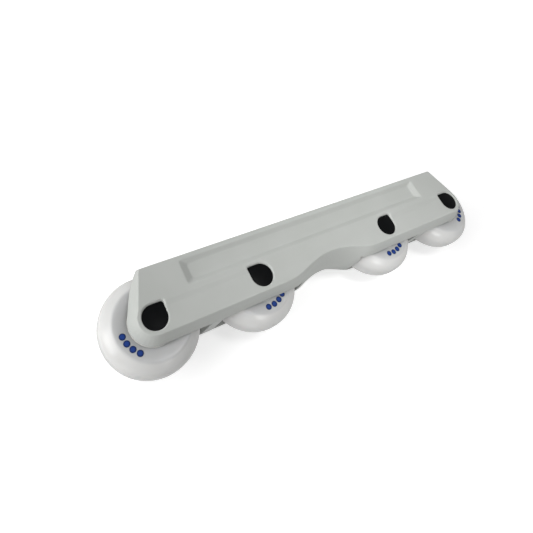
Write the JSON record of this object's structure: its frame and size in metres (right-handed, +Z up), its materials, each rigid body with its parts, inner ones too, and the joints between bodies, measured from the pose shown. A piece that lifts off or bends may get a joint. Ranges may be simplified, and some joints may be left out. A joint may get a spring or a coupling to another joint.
{
  "type": "inline skate frame",
  "caption": "Inline skate frame that bolts under a boot and carries a row of ball-bearing wheels, with a grinding arch in the middle.",
  "frame": {"origin": "on the ground under the middle of the frame, between wheels 2 and 3", "axes": "+X along the row of wheels, +Z up to the boot, axle heads on the -Y side and axle screws on the +Y side"},
  "size_m": [0.316, 0.0446, 0.061],
  "materials": {
    "frame_plastic": "light grey moulded plastic, fine satin texture",
    "tyre": "white cast urethane, glossy",
    "core": "white moulded core",
    "bearing_steel": "ground bearing steel",
    "shield_steel": "pressed steel shield",
    "cage_brass": "plain cage",
    "spacer_aluminium": "turned",
    "axle_black": "black, slightly glossy"
  },
  "bodies": {
    "chassis": {"frame_body": "frame_plastic", "axle_1": "axle_black", "axle_2": "axle_black", "axle_3": "axle_black", "axle_4": "axle_black", "axle_screw_1": "axle_black", "axle_screw_2": "axle_black", "axle_screw_3": "axle_black", "axle_screw_4": "axle_black", "spacer_1": "spacer_aluminium", "spacer_2": "spacer_aluminium", "spacer_3": "spacer_aluminium", "spacer_4": "spacer_aluminium", "inner_rings_1": "bearing_steel", "inner_rings_2": "bearing_steel", "inner_rings_3": "bearing_steel", "inner_rings_4": "bearing_steel"},
    "wheel_1": {"tyre_1": "tyre", "core_1": "core", "outer_rings_1": "bearing_steel", "shields_1": "shield_steel"},
    "ball_set_1": {"balls_1": "bearing_steel", "cages_1": "cage_brass"},
    "wheel_2": {"tyre_2": "tyre", "core_2": "core", "outer_rings_2": "bearing_steel", "shields_2": "shield_steel"},
    "ball_set_2": {"balls_2": "bearing_steel", "cages_2": "cage_brass"},
    "wheel_3": {"tyre_3": "tyre", "core_3": "core", "outer_rings_3": "bearing_steel", "shields_3": "shield_steel"},
    "ball_set_3": {"balls_3": "bearing_steel", "cages_3": "cage_brass"},
    "wheel_4": {"tyre_4": "tyre", "core_4": "core", "outer_rings_4": "bearing_steel", "shields_4": "shield_steel"},
    "ball_set_4": {"balls_4": "bearing_steel", "cages_4": "cage_brass"}
  },
  "joints": [
    {"name": "wheel_1_spin", "type": "hinge", "parent": "chassis", "child": "wheel_1", "pos_m": [-0.128, 0, 0.03], "axis": [0, 1, 0], "continuous": true},
    {"name": "ball_set_1_spin", "type": "hinge", "parent": "chassis", "child": "ball_set_1", "pos_m": [-0.128, 0, 0.03], "axis": [0, 1, 0], "continuous": true},
    {"name": "wheel_2_spin", "type": "hinge", "parent": "chassis", "child": "wheel_2", "pos_m": [-0.056, 0, 0.03], "axis": [0, 1, 0], "continuous": true},
    {"name": "ball_set_2_spin", "type": "hinge", "parent": "chassis", "child": "ball_set_2", "pos_m": [-0.056, 0, 0.03], "axis": [0, 1, 0], "continuous": true},
    {"name": "wheel_3_spin", "type": "hinge", "parent": "chassis", "child": "wheel_3", "pos_m": [0.056, 0, 0.03], "axis": [0, 1, 0], "continuous": true},
    {"name": "ball_set_3_spin", "type": "hinge", "parent": "chassis", "child": "ball_set_3", "pos_m": [0.056, 0, 0.03], "axis": [0, 1, 0], "continuous": true},
    {"name": "wheel_4_spin", "type": "hinge", "parent": "chassis", "child": "wheel_4", "pos_m": [0.128, 0, 0.03], "axis": [0, 1, 0], "continuous": true},
    {"name": "ball_set_4_spin", "type": "hinge", "parent": "chassis", "child": "ball_set_4", "pos_m": [0.128, 0, 0.03], "axis": [0, 1, 0], "continuous": true}
  ],
  "couplings": [
    {"joint": "ball_set_1_spin", "follows": "wheel_1_spin", "ratio": 0.63},
    {"joint": "ball_set_2_spin", "follows": "wheel_2_spin", "ratio": 0.63},
    {"joint": "ball_set_3_spin", "follows": "wheel_3_spin", "ratio": 0.63},
    {"joint": "ball_set_4_spin", "follows": "wheel_4_spin", "ratio": 0.63}
  ]
}
